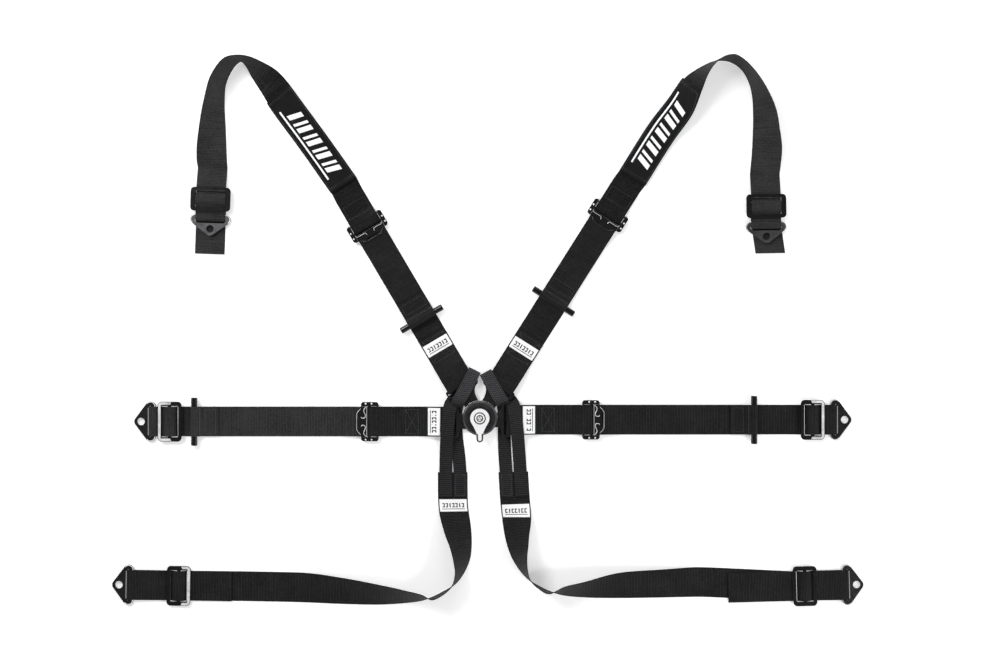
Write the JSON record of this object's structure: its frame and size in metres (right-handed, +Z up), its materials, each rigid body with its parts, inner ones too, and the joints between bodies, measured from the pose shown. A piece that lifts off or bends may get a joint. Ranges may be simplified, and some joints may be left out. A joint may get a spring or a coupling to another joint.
{
  "type": "racing harness",
  "caption": "Racing harness laid out flat: rotary cam-lock buckle, padded shoulder straps with tilt-lock adjusters, lap straps and leg straps, each ending in a slide and a bolt-on bracket.",
  "frame": {"origin": "middle of the flat underside of the buckle's back plate, on the floor", "axes": "+Z up from the floor, +Y from the buckle towards the shoulder straps, +X along the right-hand lap strap as seen from above"},
  "size_m": [1.2633, 0.9198, 0.0507],
  "materials": {
    "webbing": "woven, fine cross ribs",
    "narrow_webbing": "woven, diamond twill",
    "pad": "matte, sewn across each end",
    "black_steel": "gloss black",
    "satin_plate": "satin grey",
    "silver": "bright",
    "inner_steel": "plain"
  },
  "bodies": {
    "core": {"buckle_back_plate": "black_steel", "buckle_housing": "black_steel", "return_spring": "inner_steel", "leg_left_webbing": "webbing", "leg_right_webbing": "webbing", "leg_left_narrow_loop": "narrow_webbing", "leg_right_narrow_loop": "narrow_webbing"},
    "handle": {"rotary_handle": "silver", "cam_spindle": "inner_steel"},
    "shoulder_left_pin": {"shoulder_left_lock_pin": "inner_steel"},
    "shoulder_left_lower": {"shoulder_left_tongue": "satin_plate", "shoulder_left_lower_webbing": "webbing"},
    "shoulder_left_upper": {"shoulder_left_adjuster_frame": "black_steel", "shoulder_left_lock_bar": "inner_steel", "shoulder_left_upper_webbing": "webbing", "shoulder_left_pad": "pad"},
    "shoulder_left_tail": {"shoulder_left_tail_webbing": "webbing", "shoulder_left_pull_bar": "black_steel"},
    "shoulder_left_tab": {"shoulder_left_release_tab": "black_steel"},
    "shoulder_right_pin": {"shoulder_right_lock_pin": "inner_steel"},
    "shoulder_right_lower": {"shoulder_right_tongue": "satin_plate", "shoulder_right_lower_webbing": "webbing"},
    "shoulder_right_upper": {"shoulder_right_adjuster_frame": "black_steel", "shoulder_right_lock_bar": "inner_steel", "shoulder_right_upper_webbing": "webbing", "shoulder_right_pad": "pad"},
    "shoulder_right_tail": {"shoulder_right_tail_webbing": "webbing", "shoulder_right_pull_bar": "black_steel"},
    "shoulder_right_tab": {"shoulder_right_release_tab": "black_steel"},
    "lap_left_pin": {"lap_left_lock_pin": "inner_steel"},
    "lap_left_inner": {"lap_left_tongue": "satin_plate", "lap_left_short_webbing": "webbing", "lap_left_adjuster_frame": "black_steel", "lap_left_lock_bar": "inner_steel"},
    "lap_left_outer": {"lap_left_anchor_webbing": "webbing"},
    "lap_left_tail": {"lap_left_tail_webbing": "webbing", "lap_left_pull_bar": "black_steel"},
    "lap_left_tab": {"lap_left_release_tab": "black_steel"},
    "lap_right_pin": {"lap_right_lock_pin": "inner_steel"},
    "lap_right_inner": {"lap_right_tongue": "satin_plate", "lap_right_short_webbing": "webbing", "lap_right_adjuster_frame": "black_steel", "lap_right_lock_bar": "inner_steel"},
    "lap_right_outer": {"lap_right_anchor_webbing": "webbing"},
    "lap_right_tail": {"lap_right_tail_webbing": "webbing", "lap_right_pull_bar": "black_steel"},
    "lap_right_tab": {"lap_right_release_tab": "black_steel"},
    "shoulder_left_slide": {"shoulder_left_three_bar_slide": "black_steel"},
    "shoulder_left_bracket": {"shoulder_left_end_bracket": "satin_plate"},
    "shoulder_right_slide": {"shoulder_right_three_bar_slide": "black_steel"},
    "shoulder_right_bracket": {"shoulder_right_end_bracket": "satin_plate"},
    "lap_left_slide": {"lap_left_three_bar_slide": "black_steel"},
    "lap_left_bracket": {"lap_left_end_bracket": "satin_plate"},
    "lap_right_slide": {"lap_right_three_bar_slide": "black_steel"},
    "lap_right_bracket": {"lap_right_end_bracket": "satin_plate"},
    "leg_left_slide": {"leg_left_three_bar_slide": "black_steel"},
    "leg_left_bracket": {"leg_left_end_bracket": "satin_plate"},
    "leg_right_slide": {"leg_right_three_bar_slide": "black_steel"},
    "leg_right_bracket": {"leg_right_end_bracket": "satin_plate"}
  },
  "joints": [
    {"name": "handle_turn", "type": "hinge", "parent": "core", "child": "handle", "pos_m": [0, 0, 0.02], "axis": [0, 0, 1], "range_deg": [-60, 0], "stiffness_Nm_per_rad": 0.2},
    {"name": "shoulder_left_pin_lift", "type": "slide", "parent": "core", "child": "shoulder_left_pin", "axis": [0, 0, 1], "range_m": [0, 0.004]},
    {"name": "shoulder_left_release", "type": "slide", "parent": "core", "child": "shoulder_left_lower", "axis": [-0.5075, 0.8616, 0], "range_m": [0, 0.035], "deforming": ["leg_left_narrow_loop"]},
    {"name": "shoulder_left_adjust", "type": "slide", "parent": "shoulder_left_lower", "child": "shoulder_left_upper", "axis": [-0.5075, 0.8616, 0], "range_m": [-0.014, 0.045], "deforming": ["shoulder_left_lower_webbing"]},
    {"name": "shoulder_left_tail_run", "type": "slide", "parent": "shoulder_left_upper", "child": "shoulder_left_tail", "axis": [-0.5075, 0.8616, 0], "range_m": [-0.014, 0.045], "deforming": ["shoulder_left_tail_webbing"]},
    {"name": "shoulder_left_tab_lift", "type": "hinge", "parent": "shoulder_left_upper", "child": "shoulder_left_tab", "pos_m": [-0.18474, 0.31363, 0.0096], "axis": [-0.8616, -0.5075, 0], "range_deg": [0, 30], "stiffness_Nm_per_rad": 0.02},
    {"name": "shoulder_right_pin_lift", "type": "slide", "parent": "core", "child": "shoulder_right_pin", "axis": [0, 0, 1], "range_m": [0, 0.004]},
    {"name": "shoulder_right_release", "type": "slide", "parent": "core", "child": "shoulder_right_lower", "axis": [0.5344, 0.8453, 0], "range_m": [0, 0.035], "deforming": ["leg_right_narrow_loop"]},
    {"name": "shoulder_right_adjust", "type": "slide", "parent": "shoulder_right_lower", "child": "shoulder_right_upper", "axis": [0.5344, 0.8453, 0], "range_m": [-0.03, 0.045], "deforming": ["shoulder_right_lower_webbing"]},
    {"name": "shoulder_right_tail_run", "type": "slide", "parent": "shoulder_right_upper", "child": "shoulder_right_tail", "axis": [0.5344, 0.8453, 0], "range_m": [-0.03, 0.045], "deforming": ["shoulder_right_tail_webbing"]},
    {"name": "shoulder_right_tab_lift", "type": "hinge", "parent": "shoulder_right_upper", "child": "shoulder_right_tab", "pos_m": [0.21, 0.33219, 0.0096], "axis": [-0.8453, 0.5344, 0], "range_deg": [0, 30], "stiffness_Nm_per_rad": 0.02},
    {"name": "lap_left_pin_lift", "type": "slide", "parent": "core", "child": "lap_left_pin", "axis": [0, 0, 1], "range_m": [0, 0.004]},
    {"name": "lap_left_release", "type": "slide", "parent": "core", "child": "lap_left_inner", "axis": [-1, 0, 0], "range_m": [0, 0.035]},
    {"name": "lap_left_adjust", "type": "slide", "parent": "lap_left_inner", "child": "lap_left_outer", "axis": [-1, 0, 0], "range_m": [0, 0.045], "deforming": ["lap_left_anchor_webbing"]},
    {"name": "lap_left_tail_run", "type": "slide", "parent": "lap_left_inner", "child": "lap_left_tail", "axis": [-1, 0, 0], "range_m": [-0.045, 0], "deforming": ["lap_left_tail_webbing"]},
    {"name": "lap_left_tab_lift", "type": "hinge", "parent": "lap_left_inner", "child": "lap_left_tab", "pos_m": [-0.194, -0.0065, 0.0096], "axis": [0, 1, 0], "range_deg": [0, 30], "stiffness_Nm_per_rad": 0.02},
    {"name": "lap_right_pin_lift", "type": "slide", "parent": "core", "child": "lap_right_pin", "axis": [0, 0, 1], "range_m": [0, 0.004]},
    {"name": "lap_right_release", "type": "slide", "parent": "core", "child": "lap_right_inner", "axis": [1, 0, 0], "range_m": [0, 0.035]},
    {"name": "lap_right_adjust", "type": "slide", "parent": "lap_right_inner", "child": "lap_right_outer", "axis": [1, 0, 0], "range_m": [-0.02, 0.045], "deforming": ["lap_right_anchor_webbing"]},
    {"name": "lap_right_tail_run", "type": "slide", "parent": "lap_right_inner", "child": "lap_right_tail", "axis": [1, 0, 0], "range_m": [-0.045, 0.02], "deforming": ["lap_right_tail_webbing"]},
    {"name": "lap_right_tab_lift", "type": "hinge", "parent": "lap_right_inner", "child": "lap_right_tab", "pos_m": [0.1955, -0.0035, 0.0096], "axis": [0, -1, 0], "range_deg": [0, 30], "stiffness_Nm_per_rad": 0.02},
    {"name": "shoulder_left_slide_travel", "type": "slide", "parent": "shoulder_left_upper", "child": "shoulder_left_slide", "axis": [0.0349, 0.9994, 0], "range_m": [0, 0.02], "deforming": ["shoulder_left_upper_webbing"]},
    {"name": "shoulder_left_bracket_swing", "type": "hinge", "parent": "shoulder_left_upper", "child": "shoulder_left_bracket", "pos_m": [-0.45295, 0.33879, 0.00497], "axis": [-0.9994, 0.0349, 0], "range_deg": [0, 75]},
    {"name": "shoulder_right_slide_travel", "type": "slide", "parent": "shoulder_right_upper", "child": "shoulder_right_slide", "axis": [-0.0175, 0.9998, 0], "range_m": [0, 0.015], "deforming": ["shoulder_right_upper_webbing"]},
    {"name": "shoulder_right_bracket_swing", "type": "hinge", "parent": "shoulder_right_upper", "child": "shoulder_right_bracket", "pos_m": [0.48103, 0.3264, 0.00497], "axis": [-0.9998, -0.0175, 0], "range_deg": [0, 75]},
    {"name": "lap_left_slide_travel", "type": "slide", "parent": "lap_left_outer", "child": "lap_left_slide", "axis": [1, 0, 0], "range_m": [0, 0.01], "deforming": ["lap_left_anchor_webbing"]},
    {"name": "lap_left_bracket_swing", "type": "hinge", "parent": "lap_left_outer", "child": "lap_left_bracket", "pos_m": [-0.5486, -0.0065, 0.0032], "axis": [0, 1, 0], "range_deg": [0, 75]},
    {"name": "lap_right_slide_travel", "type": "slide", "parent": "lap_right_outer", "child": "lap_right_slide", "axis": [-1, 0, 0], "range_m": [0, 0.02], "deforming": ["lap_right_anchor_webbing"]},
    {"name": "lap_right_bracket_swing", "type": "hinge", "parent": "lap_right_outer", "child": "lap_right_bracket", "pos_m": [0.5919, -0.0035, 0.0032], "axis": [0, -1, 0], "range_deg": [0, 75]},
    {"name": "leg_left_slide_travel", "type": "slide", "parent": "core", "child": "leg_left_slide", "axis": [0.9998, -0.0175, 0], "range_m": [-0.035, 0.04], "deforming": ["leg_left_webbing"]},
    {"name": "leg_left_bracket_swing", "type": "hinge", "parent": "core", "child": "leg_left_bracket", "pos_m": [-0.5858, -0.28137, 0.0032], "axis": [0.0175, 0.9998, 0], "range_deg": [0, 75]},
    {"name": "leg_right_slide_travel", "type": "slide", "parent": "core", "child": "leg_right_slide", "axis": [-0.9997, -0.0262, 0], "range_m": [-0.03, 0.04], "deforming": ["leg_right_webbing"]},
    {"name": "leg_right_bracket_swing", "type": "hinge", "parent": "core", "child": "leg_right_bracket", "pos_m": [0.61211, -0.28146, 0.0032], "axis": [0.0262, -0.9997, 0], "range_deg": [0, 75]}
  ],
  "couplings": [
    {"joint": "shoulder_left_pin_lift", "follows": "handle_turn", "m_per_rad": -0.003801},
    {"joint": "shoulder_left_tail_run", "follows": "shoulder_left_adjust", "ratio": 1},
    {"joint": "shoulder_right_pin_lift", "follows": "handle_turn", "m_per_rad": -0.003801},
    {"joint": "shoulder_right_tail_run", "follows": "shoulder_right_adjust", "ratio": 1},
    {"joint": "lap_left_pin_lift", "follows": "handle_turn", "m_per_rad": -0.003801},
    {"joint": "lap_left_tail_run", "follows": "lap_left_adjust", "ratio": -1},
    {"joint": "lap_right_pin_lift", "follows": "handle_turn", "m_per_rad": -0.003801},
    {"joint": "lap_right_tail_run", "follows": "lap_right_adjust", "ratio": -1}
  ]
}
